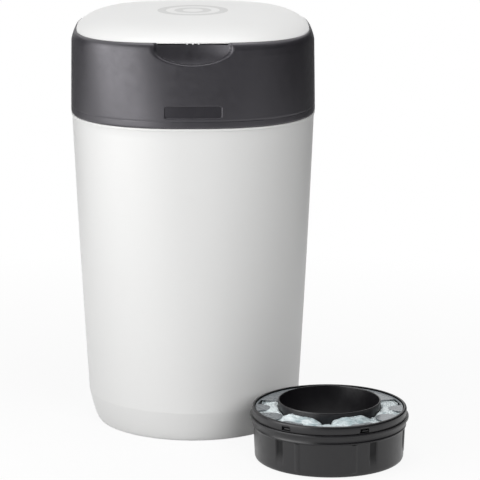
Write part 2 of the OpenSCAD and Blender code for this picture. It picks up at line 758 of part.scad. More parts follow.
// Charcoal liner that closes the lid's underside and carries its hinge knuckle
module lid_liner() {
    outer = [lid_hw - liner_in, lid_hd - liner_in];
    color(charcoal) difference() {
        union() {
            slab(outer[0], outer[1], lid_ex, liner_z, liner_t);
            band(outer, outer - liner_wall * [1, 1], lid_ex, liner_z, lid_under - liner_z);
            bar(hinge_r, knuckle_w, hinge_y, hinge_z);
            translate([-knuckle_w / 2, outer[1] - 10, liner_z])
                cube([knuckle_w, hinge_y - outer[1] + 8, lid_under - liner_z]);
        }
        bar(hinge_pin_r + run_gap, hinge_w, hinge_y, hinge_z);
        at_corners(boss_x, boss_y)
            tube(small_screw_r + screw_gap, 0, liner_z - 1, liner_t + 2, small_n);
        scoop_ball(scoop_wall + 1);
    }
}

// Rubber seal between the lid's liner and the deck
module lid_seal() {
    outer = [mouth_hw, mouth_hd] - lid_seal_in * [1, 1];
    color(dark_grey) band(outer, outer - lid_seal_w * [1, 1], skirt_ex,
        deck_top + seat_gap, liner_z - deck_top - seat_gap);
}

// Two flat rings inlaid in the lid's top
module motif_bands(extra, h) {
    for (r = [motif_r, motif_r - 2 * motif_band])
        tube(r + extra, r - motif_band - extra, 0, h);
}

module lid_motif() {
    color(pale_grey) translate([0, 0, crown_z(0.4) - motif_t]) motif_bands(0, motif_t);
}

module lid_screws() {
    color(steel) at_corners(boss_x, boss_y) translate([0, 0, liner_z])
        rotate([180, 0, 0]) screw(small_screw_r, liner_t + lid_screw_l - 0.5, small_head_r, small_head_h);
}

// The cassette stands on the floor, to the right of the bin and in front of it
module at_cassette() {
    translate([cassette_x, -cassette_y, 0]) children();
}

// Trough that holds the folded film: base, side wall with flange, and neck
module cassette_tub() {
    t = cassette_wall;
    r = tub_r;
    top_r = tub_r + draft;
    neck_h = 6;
    wall_top = cassette_rim_h - t;
    color(charcoal) at_cassette() difference() {
        rotate_extrude($fn = round_n) polygon([
            [core_r + run_gap, 0], [r - 2.5, 0], [r - 0.8, 0.8], [r, 2.5],
            [top_r, cassette_bead_z], [top_r + 1.6, cassette_bead_z + 0.6],
            [top_r + 1.6, cassette_bead_z + 2.4], [top_r + 0.8, cassette_bead_z + 3],
            [top_r + 0.8, cassette_flange_z], [flange_r, cassette_flange_z],
            [flange_r, cassette_flange_z + cassette_flange_t],
            [top_r, cassette_flange_z + cassette_flange_t],
            [top_r, wall_top], [top_r - t, wall_top],
            [top_r - t, cassette_bead_z], [r - t, 2.5 + t], [r - t - 1.5, t],
            [core_r + t, t], [core_r + t, neck_h], [core_r + run_gap, neck_h]]);
        for (side = [0, 1]) around(3, pad_angle + 60 * side) pad_cut();
    }
}

// Shallow panel pressed into the cassette's wall
module pad_cut() {
    low = 6;
    rotate([0, 0, -pad_span / 2]) rotate_extrude(angle = pad_span, $fn = round_n)
        polygon([[tub_r - pad_sink, low], [tub_r + 3, low], [tub_r + 3, cassette_bead_z - 3],
            [tub_r + draft - pad_sink - 0.2, cassette_bead_z - 3]]);
}

// Tube that the nappies pass through, with a rolled top
module cassette_core() {
    t = cassette_wall;
    color(charcoal) at_cassette() rotate_extrude($fn = round_n) polygon([
        [core_r - t, 0], [core_r, 0], [core_r, cassette_h - 2.4], [core_r + 1.1, cassette_h - 1.6],
        [core_r + 1.1, cassette_h - 0.5], [core_r + 0.6, cassette_h], [core_r - t + 0.6, cassette_h],
        [core_r - t, cassette_h - 0.6]]);
}

// Collar that snaps over the tub, with six windows for its clips
module cassette_collar() {
    in_r = tub_r + draft + seat_gap;
    out_r = in_r + cassette_wall;
    z = cassette_flange_z + cassette_flange_t;
    color(charcoal) at_cassette() difference() {
        rotate_extrude($fn = round_n) polygon([
            [in_r, z + seat_gap], [out_r, z + seat_gap], [out_r, cassette_rim_h - 0.8],
            [out_r - 0.8, cassette_rim_h], [collar_in_r, cassette_rim_h],
            [collar_in_r, cassette_rim_h - cassette_wall + seat_gap],
            [in_r, cassette_rim_h - cassette_wall + seat_gap]]);
        around(6, clip_angle) translate([in_r - 2, -clip_w / 2, clip_z])
            cube([cassette_wall + 4, clip_w, clip_h]);
    }
}

// Folded film in the trough, with a soft rounded top
module film_pack() {
    low_r = core_r + cassette_wall + seat_gap;
    high_r = tub_r - cassette_wall - 1.8;
    z = cassette_wall + seat_gap;
    top = guard_z - 1;
    color(mint) at_cassette() rotate_extrude($fn = round_n) polygon([
        [low_r, z], [high_r, z], [high_r, top - 5], [high_r - 3, top - 1.5], [high_r - 8, top],
        [low_r + 7, top], [low_r + 2.5, top - 1.5], [low_r, top - 5]]);
}

// Springy ring over the film, whose rounded tongues hold the film back
module film_guard() {
    out_r = tub_r + draft - cassette_wall - seat_gap;
    color(smoke) at_cassette() translate([0, 0, guard_z]) linear_extrude(guard_t) intersection() {
        circle(r = out_r, $fn = round_n);
        union() {
            difference() {
                circle(r = out_r + 1, $fn = round_n);
                circle(r = out_r - guard_w, $fn = round_n);
            }
            for (a = guard_angles) rotate([0, 0, a]) translate([out_r - guard_w, 0])
                circle(r = tongue_r, $fn = small_n);
        }
    }
}

bucket();
head_shell();
head_base();
head_seal();
deck();
deck_screws();
hinge_pin();
glide_ring();
finger_ring();
finger_ring_screws();
pawl_pin();
pawl_spring();
cutter_guard();
cutter_blade();
cutter_screws();
lid_shell();
lid_liner();
lid_seal();
lid_motif();
lid_screws();
twist_ring();
click_pawl();
finger_1();
finger_2();
finger_3();
finger_4();
finger_5();
finger_6();
cassette_tub();
cassette_core();
cassette_collar();
film_pack();
film_guard();
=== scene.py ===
import math

import bmesh
import bpy
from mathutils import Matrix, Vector, noise


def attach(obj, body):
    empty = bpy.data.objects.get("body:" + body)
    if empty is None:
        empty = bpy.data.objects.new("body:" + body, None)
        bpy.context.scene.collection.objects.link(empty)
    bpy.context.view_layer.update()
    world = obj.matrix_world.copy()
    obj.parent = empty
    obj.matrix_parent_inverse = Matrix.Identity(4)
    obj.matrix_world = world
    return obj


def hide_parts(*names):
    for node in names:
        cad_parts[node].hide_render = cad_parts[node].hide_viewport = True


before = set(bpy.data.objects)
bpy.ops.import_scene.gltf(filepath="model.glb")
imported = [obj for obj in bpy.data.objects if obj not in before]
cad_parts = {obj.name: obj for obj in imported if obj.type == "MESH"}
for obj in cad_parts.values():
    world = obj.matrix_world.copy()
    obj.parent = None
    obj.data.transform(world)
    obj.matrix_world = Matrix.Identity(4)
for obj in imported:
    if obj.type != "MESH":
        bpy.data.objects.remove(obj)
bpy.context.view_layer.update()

# Sizes are real millimetres, turned to metres where a mesh or a texture is made. The origin is the middle
# of the bucket's foot on the floor, and the bin's front faces -Y
MM = 0.001
FRONT = -90  # where the front is, in degrees round the bin

# Sizes that the pieces share with each other and with the frame
BUCKET_H = 345.4
HEAD_Z = 345.7  # foot of the head's skirt
ROLL_Z = 420.5  # where the skirt ends and the rolled rim starts
DECK_Z = 421.5  # ledge that carries the deck
DECK_TOP = 424.5
RIM_H = 435.0
HEAD_HALF = (131.5, 127.5)  # half width and half depth
MOUTH_HALF = (125.1, 121.1)
LID_HALF = (124.6, 120.6)
SKIRT_FULL = 2.46  # how square an outline is
RIM_FULL = 2.95
LID_FULL = 3.0
LID_EDGE = 0.9  # how far the lid's edge hangs below the rim's top
CROWN_H = 16.4
CROWN_POWER = 6.7  # a higher power keeps the lid's top flat for longer
HINGE_Y = 121.5
PLATE_HALF = (30.25, 6.7)
PLATE_MIDDLE = 362.8
CASSETTE = (142.0, -157.0)  # the spot that it stands on
TUB_R = 78.3  # the trough's wall at the floor, and how it spreads up to its rim
TUB_SPREAD = 1.3
TUB_WALL_H = 35.0


# Camera

LENS_MM = 211
CAMERA_BACK = 3000.0
CAMERA_H = 890.9
CAMERA_DOWN = 0.227  # radians
CAMERA_TURN = 0.0169


def aim_camera():
    """A long lens at the photograph's viewing angle, in front of the bin and a little above it."""
    data = bpy.data.cameras.new("studio_camera")
    data.lens = LENS_MM
    data.clip_end = 50
    camera = bpy.data.objects.new("studio_camera", data)
    bpy.context.scene.collection.objects.link(camera)
    camera.location = (0, -CAMERA_BACK * MM, CAMERA_H * MM)
    camera.rotation_euler = (math.pi / 2 - CAMERA_DOWN, 0, -CAMERA_TURN)
    bpy.context.scene.camera = camera


# Outlines and skins

def outline(half, full, angle):
    """Radius of a rounded outline at an angle: full is 2 on an ellipse, and more is squarer."""
    across = abs(math.cos(angle)) / half[0]
    along = abs(math.sin(angle)) / half[1]
    return (across ** full + along ** full) ** (-1 / full)


def ease(value, low, high):
    """0 below low, 1 above high and a smooth step between."""
    share = min(1.0, max(0.0, (value - low) / (high - low)))
    return share * share * (3 - 2 * share)


def spread(low, high, count):
    """count values from low to high, both ends included."""
    return [low + (high - low) * i / (count - 1) for i in range(count)]


def angles_around(coarse, fine=None, reach=0):
    """Radians round a full turn in coarse steps of degrees, with fine steps within reach of the front."""
    arcs = [(FRONT + reach, 360 - 2 * reach, coarse)]
    if fine:
        arcs.append((FRONT - reach, 2 * reach, fine))
    return [math.radians(start + i * sweep / round(sweep / step))
            for start, sweep, step in arcs for i in range(round(sweep / step))]


def new_piece(name, build, finish, sharp=35):
    """Turns a bmesh in millimetres into a shaded object with its finish."""
    bmesh.ops.remove_doubles(build, verts=build.verts, dist=0.004)
    bmesh.ops.recalc_face_normals(build, faces=build.faces)
    for vert in build.verts:
        vert.co *= MM
    mesh = bpy.data.meshes.new(name)
    build.to_mesh(mesh)
    build.free()
    mesh.shade_smooth()
    mesh.set_sharp_from_angle(angle=math.radians(sharp))
    piece = bpy.data.objects.new(name, mesh)
    bpy.context.scene.collection.objects.link(piece)
    mesh.materials.append(finish)
    return piece


def skin(build, rows, closed=False):
    """Quads between rows of points. Closed joins the last row to the first, or else both get a cap."""
    made = [[build.verts.new(p) for p in row] for row in rows]
    count = len(made[0])
    for j in range(len(made) if closed else len(made) - 1):
        low, high = made[j], made[(j + 1) % len(made)]
        for i in range(count):
            k = (i + 1) % count
            build.faces.new((low[i], low[k], high[k], high[i]))
    if not closed:
        build.faces.new(made[0])
        build.faces.new(made[-1])


def level_row(angles, radius, z, centre=(0.0, 0.0)):
    """A row of points round a centre, where radius is a number or is worked out from the angle."""
    reach = radius if callable(radius) else lambda angle: radius
    return [(centre[0] + reach(a) * math.cos(a), centre[1] + reach(a) * math.sin(a), z) for a in angles]


def round_box(build, low, high, edge):
    """A small block with its edges rounded."""
    made = bmesh.ops.create_cube(build, size=1)["verts"]
    for vert in made:
        vert.co = Vector((low[i] if vert.co[i] < 0 else high[i] for i in range(3)))
    edges = list({e for vert in made for e in vert.link_edges})
    bmesh.ops.bevel(build, geom=edges, offset=edge, segments=3, affect="EDGES", profile=0.5)


# Materials

RUB_MM = 9  # patches where handling has changed the tone and the gloss a little


def linear(hex_colour):
    """An sRGB hex colour as the linear colour that a shader takes."""
    parts = [int(hex_colour[i:i + 2], 16) / 255 for i in (1, 3, 5)]
    return [p / 12.92 if p <= 0.04045 else ((p + 0.055) / 1.055) ** 2.4 for p in parts] + [1.0]


def empty_material(name):
    material = bpy.data.materials.new(name)
    material.use_nodes = True
    material.node_tree.nodes.clear()
    return material


def add(material, kind, inputs=None, **settings):
    """Adds a node with its settings, its socket values and the links into it."""
    node = material.node_tree.nodes.new(kind)
    for name, value in settings.items():
        setattr(node, name, value)
    for name, value in (inputs or {}).items():
        if isinstance(value, bpy.types.NodeSocket):
            material.node_tree.links.new(value, node.inputs[name])
        else:
            node.inputs[name].default_value = value
    return node


def grained(name, colour, roughness, grain_mm, depth_mm, wave_mm=70, wave_depth_mm=0.03,
            tone=0.03, rough_swing=0.05, **fixed):
    """A moulded surface: fine grain from the mould, slow waves from shrinkage, and slightly uneven
    colour and gloss. fixed goes straight onto the shader's own sockets."""
    material = empty_material(name)
    place = add(material, "ShaderNodeTexCoord").outputs["Object"]
    grain = add(material, "ShaderNodeTexNoise", {
        "Vector": place, "Scale": 1 / (grain_mm * MM), "Detail": 2.0, "Roughness": 0.55})
    waves = add(material, "ShaderNodeTexNoise", {
        "Vector": place, "Scale": 1 / (wave_mm * MM), "Detail": 1.0})
    rub = add(material, "ShaderNodeTexNoise", {
        "Vector": place, "Scale": 1 / (RUB_MM * MM), "Detail": 4.0, "Roughness": 0.7})
    shade = [c * (1 - tone) for c in linear(colour)[:3]] + [1.0]
    light = [min(1.0, c * (1 + tone)) for c in linear(colour)[:3]] + [1.0]
    tint = add(material, "ShaderNodeMix", {
        "Factor": rub.outputs["Fac"], "A": shade, "B": light}, data_type="RGBA")
    gloss = add(material, "ShaderNodeMapRange", {
        "Value": rub.outputs["Fac"], "From Min": 0.3, "From Max": 0.7,
        "To Min": roughness - rough_swing, "To Max": roughness + rough_swing})
    slow = add(material, "ShaderNodeBump", {
        "Height": waves.outputs["Fac"], "Strength": 1.0, "Distance": wave_depth_mm * MM})
    fine = add(material, "ShaderNodeBump", {
        "Height": grain.outputs["Fac"], "Strength": 1.0, "Distance": depth_mm * MM,
        "Normal": slow.outputs["Normal"]})
    shader = add(material, "ShaderNodeBsdfPrincipled", {
        "Base Color": tint.outputs["Result"], "Roughness": gloss.outputs["Result"],
        "Normal": fine.outputs["Normal"], **fixed}, name="surface")
    add(material, "ShaderNodeOutputMaterial", {"Surface": shader.outputs["BSDF"]})
    return material


def vary(material, sockets):
    """Puts values that change over the surface on sockets of a grained material's shader."""
    for name, value in sockets.items():
        material.node_tree.links.new(value, material.node_tree.nodes["surface"].inputs[name])


def from_tube(material):
    """The place on the cassette, counted from the foot of its tube."""
    return add(material, "ShaderNodeVectorMath", {
        0: add(material, "ShaderNodeTexCoord").outputs["Object"],
        1: (CASSETTE[0] * MM, CASSETTE[1] * MM, 0)}, operation="SUBTRACT").outputs["Vector"]


CHARCOAL_SHINE = 1.0
PLATE_SHINE = 0.45
PLATE_SLOPE = 0.4  # the plate's shine stops this far inside its edge


def charcoal_finish():
    """Polypropylene dyed charcoal with a little mica, which doubles its shine, and moulded with a fine
    grain, which spreads the softbox into a wide band. The bare plate comes from a duller insert."""
    material = grained("charcoal_polypropylene", "#2a292d", 0.4, 0.6, 0.008, tone=0.04, IOR=1.53,
                       **{"Specular Tint": linear("#fbf8ff"), "Specular IOR Level": CHARCOAL_SHINE})
    place = add(material, "ShaderNodeSeparateXYZ", {
        0: add(material, "ShaderNodeTexCoord").outputs["Object"]}).outputs
    on_plate = add(material, "ShaderNodeMath", {0: place["Y"], 1: 0.0}, operation="LESS_THAN").outputs[0]
    for axis, middle, half in (("X", 0.0, PLATE_HALF[0]), ("Z", PLATE_MIDDLE, PLATE_HALF[1])):
        near = add(material, "ShaderNodeMath", {
            0: place[axis], 1: middle * MM, 2: (half - PLATE_SLOPE) * MM},
            operation="COMPARE").outputs[0]
        on_plate = add(material, "ShaderNodeMath", {
            0: on_plate, 1: near}, operation="MULTIPLY").outputs[0]
    shine = add(material, "ShaderNodeMapRange", {
        "Value": on_plate, "To Min": CHARCOAL_SHINE, "To Max": PLATE_SHINE})
    vary(material, {"Specular IOR Level": shine.outputs["Result"]})
    return material


WALL_SHINE = 0.6
CHANNEL_SHINE = 0.25
CHANNEL_SHADE_DEPTHS = (0.3, 1.8)  # depths where a channel's painted shade starts, and where it is darkest
WALL_FROM = 70  # what is nearer the axis is the tube, not the trough's wall


def cassette_finish():
    """Thin-walled polypropylene from a plain tool: flow marks and a harder shine. The channels in the
    trough's wall are duller than its face, and painted shade darkens them, the more so the deeper they
    are."""
    material = grained("cassette_polypropylene", "#141316", 0.34, 1.6, 0.006, wave_mm=14,
                       wave_depth_mm=0.05, tone=0.06, IOR=1.5, **{"Specular IOR Level": WALL_SHINE})
    face_colour = material.node_tree.nodes["surface"].inputs["Base Color"].links[0].from_socket
    place = from_tube(material)
    height = add(material, "ShaderNodeSeparateXYZ", {0: place}).outputs["Z"]
    level = add(material, "ShaderNodeVectorMath", {0: place, 1: (1, 1, 0)}, operation="MULTIPLY")
    radius = add(material, "ShaderNodeVectorMath", {
        0: level.outputs["Vector"]}, operation="LENGTH").outputs["Value"]
    face = add(material, "ShaderNodeMath", {
        0: height, 1: TUB_SPREAD / TUB_WALL_H, 2: TUB_R * MM}, operation="MULTIPLY_ADD")
    sunk = add(material, "ShaderNodeMath", {0: face.outputs[0], 1: radius}, operation="SUBTRACT")
    on_wall = add(material, "ShaderNodeMath", {
        0: radius, 1: WALL_FROM * MM}, operation="GREATER_THAN")
    sunk = add(material, "ShaderNodeMath", {
        0: sunk.outputs[0], 1: on_wall.outputs[0]}, operation="MULTIPLY")
    painted_shade_and_dull = add(material, "ShaderNodeMapRange", {
        "Value": sunk.outputs[0], "From Min": CHANNEL_SHADE_DEPTHS[0] * MM, "From Max": CHANNEL_SHADE_DEPTHS[1] * MM})
    # Painted shade: the channels' colour goes towards near black, the deeper the darker
    colour = add(material, "ShaderNodeMix", {
        "Factor": painted_shade_and_dull.outputs["Result"], "A": face_colour, "B": linear("#0d0d0f")}, data_type="RGBA")
    shine = add(material, "ShaderNodeMapRange", {
        "Value": painted_shade_and_dull.outputs["Result"], "To Min": WALL_SHINE, "To Max": CHANNEL_SHINE})
    vary(material, {
        "Base Color": colour.outputs["Result"], "Specular IOR Level": shine.outputs["Result"]})
    return material


GATHER_MM = 5  # from one fold of the film to the next
WAVE_REPEAT = 0.314  # from one ring of the wave texture to the next, at a scale of 1
CRUMPLE_MM = 13
SIDE_LIGHT_FROM, SIDE_LIGHT_TO = 38, 62  # to either side of the tube's axis: where painted light on the film's sides begins, and where it is full


def film_finish():
    """Polyethylene film with a mint tint, blown thin and gathered: soft shine, folds that run round the
    cassette's tube, and the dark of the trough showing through where the film lies single. Its colour
    also carries painted shade in the folds' creases and in front of the tube, and painted light at the
    tube's two sides."""
    material = empty_material("mint_polyethylene_film")
    bend = add(material, "ShaderNodeTexNoise", {
        "Vector": add(material, "ShaderNodeTexCoord").outputs["Object"],
        "Scale": 1 / (CRUMPLE_MM * MM), "Detail": 3.0})
    place = from_tube(material)
    gathers = add(material, "ShaderNodeTexWave", {
        "Vector": place, "Scale": WAVE_REPEAT / (GATHER_MM * MM), "Distortion": 7.0, "Detail": 3.0,
        "Detail Scale": 1.2}, wave_type="RINGS", rings_direction="Z")
    thin = add(material, "ShaderNodeMapRange", {
        "Value": bend.outputs["Fac"], "From Min": 0.36, "From Max": 0.6, "To Max": 0.7})
    # The folds' rings also put painted shade into the creases of the film's colour
    thinness_and_painted_light = add(material, "ShaderNodeMath", {
        0: gathers.outputs["Fac"], 1: 0.22, 2: thin.outputs["Result"]}, operation="MULTIPLY_ADD")
    # Painted light and shade: the film is whiter at the two sides of the tube and darker in front of it
    across = add(material, "ShaderNodeSeparateXYZ", {0: place})
    across = add(material, "ShaderNodeMath", {0: across.outputs["X"]}, operation="ABSOLUTE")
    painted_side_light = add(material, "ShaderNodeMapRange", {
        "Value": across.outputs[0], "From Min": SIDE_LIGHT_FROM * MM, "From Max": SIDE_LIGHT_TO * MM,
        "To Min": 0.0, "To Max": 0.55})
    thinness_and_painted_light = add(material, "ShaderNodeMath", {
        0: thinness_and_painted_light.outputs[0], 1: painted_side_light.outputs["Result"]}, operation="ADD", use_clamp=True)
    colour = add(material, "ShaderNodeMix", {
        "Factor": thinness_and_painted_light.outputs[0], "A": linear("#9fb3b8"), "B": linear("#f1fafc")}, data_type="RGBA")
    creases = add(material, "ShaderNodeBump", {
        "Height": gathers.outputs["Fac"], "Strength": 0.7, "Distance": 0.8 * MM})
    crumple = add(material, "ShaderNodeBump", {
        "Height": bend.outputs["Fac"], "Strength": 0.8, "Distance": 1.0 * MM,
        "Normal": creases.outputs["Normal"]})
    shader = add(material, "ShaderNodeBsdfPrincipled", {
        "Base Color": colour.outputs["Result"], "Normal": crumple.outputs["Normal"],
        "Roughness": 0.3, "IOR": 1.5})
    add(material, "ShaderNodeOutputMaterial", {"Surface": shader.outputs["BSDF"]})
    return material


# Polypropylene, injection moulded with a fine satin grain: a soft broad sheen on a clean white
white_polypropylene = grained("white_polypropylene", "#efefee", 0.42, 0.7, 0.006, tone=0.006, IOR=1.49)
# ABS, moulded in a polished tool: whiter and a little glossier than the bucket
white_abs = grained("white_abs", "#f3f3f2", 0.34, 1.2, 0.003, tone=0.004, rough_swing=0.03, IOR=1.53)
charcoal_polypropylene = charcoal_finish()
cassette_polypropylene = cassette_finish()
# ABS dyed dark for the hidden fittings, moulded in a plain tool: matt, with a coarse grain
dark_abs = grained("dark_abs", "#2d2c30", 0.5, 0.8, 0.01, IOR=1.53)
# Acetal, moulded smooth: slippery and slightly waxy
smoke_acetal = grained("smoke_acetal", "#8d8f95", 0.36, 0.9, 0.004, IOR=1.48)
# ABS inlay of pale grey, moulded flush with the lid: matt beside the lid's gloss
grey_inlay = grained("grey_inlay", "#dededd", 0.5, 0.8, 0.004, tone=0.01, IOR=1.53)
# Nitrile rubber, moulded: deep black-grey without shine
seal_rubber = grained("seal_rubber", "#2a292c", 0.78, 0.5, 0.012, IOR=1.52)
# Zinc-plated and stainless steel, drawn or stamped: fine scratches and a cool shine
plated_steel = grained("plated_steel", "#b9bcc0", 0.32, 0.4, 0.003, tone=0.08, rough_swing=0.1,
                       Metallic=1.0)
mint_film = film_finish()
# Grey polypropylene sheet, rolled thin and springy: smooth, with a little of the film's pallor
clear_grey_sheet = grained("clear_grey_sheet", "#8d9296", 0.28, 2.0, 0.004, tone=0.08, IOR=1.49)

# Finishes of the pieces that keep their own solid
NODE_FINISHES = {
    white_abs: ["deck", "twist_ring"],
    charcoal_polypropylene: ["head_base", "lid_liner"],
    dark_abs: ["finger_ring", "cutter_guard"],
    smoke_acetal: ["glide_ring", "click_pawl"] + [f"finger_{i}" for i in range(1, 7)],
    seal_rubber: ["head_seal", "lid_seal"],
    plated_steel: ["deck_screws", "hinge_pin", "finger_ring_screws", "pawl_pin", "pawl_spring",
                   "cutter_blade", "cutter_screws", "lid_screws"],
}


def dress_nodes():
    """Gives those pieces their finish."""
    for finish, names in NODE_FINISHES.items():
        for name in names:
            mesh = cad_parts[name].data
            mesh.materials.clear()
            mesh.materials.append(finish)


# Bucket

CREASE_H = 33.0
CREASE_HALF = (115.5, 112.0)
WALL_HALF = (130.6, 126.7)
WALL_BOW = 0.7
FOOT_IN = 4.3  # how far the foot rounds under, on top of its lean
FOOT_LEAN = 7.2
FOOT_POWER = 2.5
FOOT_FULL = 1.95
BUCKET_WALL = 2.6
BUCKET_FLOOR = 3
BEAD_Z = 342.7
BEAD_OUT = 0.8
# Side of the bead: height above its foot, and inset
BEAD = ((-0.25, -0.1), (0, -0.5), (0.3, -BEAD_OUT + 0.08), (0.7, -BEAD_OUT), (1.9, -BEAD_OUT),
        (2.35, -BEAD_OUT + 0.1), (2.6, -BEAD_OUT + 0.35), (2.7, 0))


def bucket_half(z):
    """Half width and half depth of the bucket's wall at a height, and how square it is there."""
    share = max(0.0, (z - CREASE_H) / (BUCKET_H - CREASE_H))
    bow = WALL_BOW * 4 * share * (1 - share)
    half = [c + (w - c) * share + bow for c, w in zip(CREASE_HALF, WALL_HALF)]
    return half, FOOT_FULL + (SKIRT_FULL - FOOT_FULL) * share


def bucket_row(angles, z, inset):
    half, full = bucket_half(z)
    return level_row(angles, lambda a: outline([h - inset for h in half], full, a), z)


def foot_inset(z):
    """How far the foot has drawn in at a height: it leans in from the crease, and rounds under."""
    drop = (CREASE_H - z) / CREASE_H
    return FOOT_LEAN * drop + FOOT_IN * (1 - max(0.0, 1 - drop ** FOOT_POWER) ** (1 / FOOT_POWER))


def make_bucket():
    """One skin up the outside, from the rounded foot to the bead, and down the inside to the floor."""
    angles = angles_around(1.25)
    foot = [CREASE_H * (1 - math.cos(share * math.pi / 2)) for share in spread(0, 0.97, 26)]
    rows = [bucket_row(angles, z, foot_inset(z)) for z in foot + [CREASE_H - 0.4]]
    rows += [bucket_row(angles, z, 0)
             for z in [CREASE_H, CREASE_H + 0.4] + spread(CREASE_H + 3, BEAD_Z - 0.5, 40)]
    rows += [bucket_row(angles, BEAD_Z + up, inset) for up, inset in BEAD]
    rows += [bucket_row(angles, z, BUCKET_WALL) for z in spread(BUCKET_H, CREASE_H, 12)]
    rows += [bucket_row(angles, z, foot_inset(z - 2) + BUCKET_WALL) for z in (20, 12, 7, 4.5)]
    rows.append(bucket_row(angles, BUCKET_FLOOR, FOOT_LEAN + FOOT_IN + 6))
    build = bmesh.new()
    skin(build, rows)
    bucket = new_piece("bucket_body", build, white_polypropylene, sharp=25)
    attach(bucket, "bucket")
    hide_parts("bucket")


# Head: skirt, rolled rim, thumb recess, bare plate and the gap for the hinge

# The recess has a back hollowed from side to side, which sweeps forward to a round lip along its foot
RECESS_HALF = (45.4, 18.2)  # half its width, and how far it goes down
RECESS_Z = 428.3
RECESS_FULL = 1.85
RECESS_BACK = 114.8  # from the bin's axis to the middle of its back
RECESS_HOLLOW = 7.0
RECESS_SWEEP = 0.017  # times the square of the way down from here
RECESS_SWEEP_Z = 432
RECESS_LIP = 2.2
RECESS_WALL = 1.0
RECESS_EDGE = 432.4  # top of the wall behind it
RECESS_REACH = 24.3  # degrees to each side of the front
PLATE_SINK = 0.7
PLATE_CORNER = 3.0
HINGE_GAP = 51.0  # half its width
HINGE_GAP_Y = 118.4
SKIRT_DRAW = 1.4  # how far the skirt draws in towards its top
SKIRT_WALL = 3.2
# Hem of the skirt and a faint parting line low on it: height and inset
HEM = ((0, 1.0), (0.15, 0.55), (0.5, 0.2), (1.1, 0.03), (2.5, 0), (6.6, 0))
PARTING_Z = 353
PARTING = ((-0.3, 0), (0, 0.16), (0.35, 0.16), (0.9, 0.06))
ROLL_IN = 5
ROLL_STARTS = (3, 2.7)  # where the roll starts at the sides, and how much later at the front and back
ROLL_BENDS = (1.25, 0.75)  # how round it is at the sides, and how much more at the front and back
LEDGE_W = 8


def recess_back(angle, z):
    """How far a level ray from the bin's axis runs before it meets the back of the recess."""
    reach = RECESS_BACK
    forward = RECESS_BACK + RECESS_SWEEP * max(0.0, RECESS_SWEEP_Z - z) ** 2
    for _ in range(4):
        across = reach * math.cos(angle) / RECESS_HALF[0]
        reach = (forward + RECESS_HOLLOW * across * across) / -math.sin(angle)
    return reach


def recessed(angle, radius, z, wall):
    """A radius of the head where the recess, or the back of its wall, has pushed it in."""
    across = abs(radius * math.cos(angle)) / (RECESS_HALF[0] + wall)
    down = max(0.0, RECESS_Z - z) / (RECESS_HALF[1] + wall)
    within = RECESS_HALF[1] * (1 - (across ** RECESS_FULL + down ** RECESS_FULL) ** (1 / RECESS_FULL))
    deep = max(0.0, radius - recess_back(angle, z) + wall)
    bend = min(RECESS_LIP, max(0.0, within))
    lip = RECESS_LIP - math.sqrt(RECESS_LIP ** 2 - bend ** 2)
    return radius - min(deep, lip + deep * ease(within, RECESS_LIP - 0.4, RECESS_LIP + 0.3))


def plate_depth(x, z):
    """How deep the bare plate is sunk at a point of the front."""
    over_x = abs(x) - PLATE_HALF[0] + PLATE_CORNER
    over_z = abs(z - PLATE_MIDDLE) - PLATE_HALF[1] + PLATE_CORNER
    outside = math.hypot(max(over_x, 0), max(over_z, 0)) + min(max(over_x, over_z), 0) - PLATE_CORNER
    return PLATE_SINK * (1 - ease(outside, -0.55, 0.1))


def head_point(angle, radius, z, wall):
    """A point of the head's skin, pushed in where the recess, the plate or the hinge gap cut it."""
    if math.sin(angle) < -0.8 and z > RECESS_Z - RECESS_HALF[1] - 10:
        # Where the recess cuts through the rim, the wall behind it is lower
        pushed = recessed(angle, radius, z, wall)
        under = ease(outline(MOUTH_HALF, LID_FULL, angle) - pushed, 0.0, 1.2)
        z -= under * max(0.0, z - RECESS_EDGE)
        radius = recessed(angle, radius, z, wall) if under > 0 else pushed
    elif math.sin(angle) < 0 and wall == 0:
        radius -= plate_depth(radius * math.cos(angle), z)
    elif abs(radius * math.cos(angle)) < HINGE_GAP and math.sin(angle) > 0:
        z = min(z, DECK_TOP)
    return (radius * math.cos(angle), radius * math.sin(angle), z)


def head_row(angles, half, full, z, wall=0.0):
    return [head_point(a, outline(half, full, a), z, wall) for a in angles]


def skirt_row(angles, z, inset, wall=0.0):
    """A row of the skirt, which draws in slightly and gets squarer towards the rolled rim."""
    share = max(0.0, min(1.0, (z - HEAD_Z) / (ROLL_Z - HEAD_Z)))
    inward = SKIRT_DRAW * share ** 1.2 + inset
    full = SKIRT_FULL + (RIM_FULL - SKIRT_FULL) * share
    return head_row(angles, [h - inward for h in HEAD_HALF], full, z, wall)


def roll_point(angle, share):
    """A point of the rolled rim: round at the front and back, and taller and flatter at the sides."""
    round_part = ease(abs(math.sin(angle)), 0.2, 0.8)
    start = ROLL_Z + ROLL_STARTS[0] + ROLL_STARTS[1] * round_part
    bend = ROLL_BENDS[0] + ROLL_BENDS[1] * round_part
    z = ROLL_Z + (RIM_H - ROLL_Z) * math.sin(share * math.pi / 2)
    up = max(0.0, z - start) / (RIM_H - start)
    inset = SKIRT_DRAW + ROLL_IN * (1 - (1 - up ** bend) ** (1 / bend))
    full = RIM_FULL + (LID_FULL - RIM_FULL) * up
    return head_point(angle, outline([h - inset for h in HEAD_HALF], full, angle), z, 0.0)


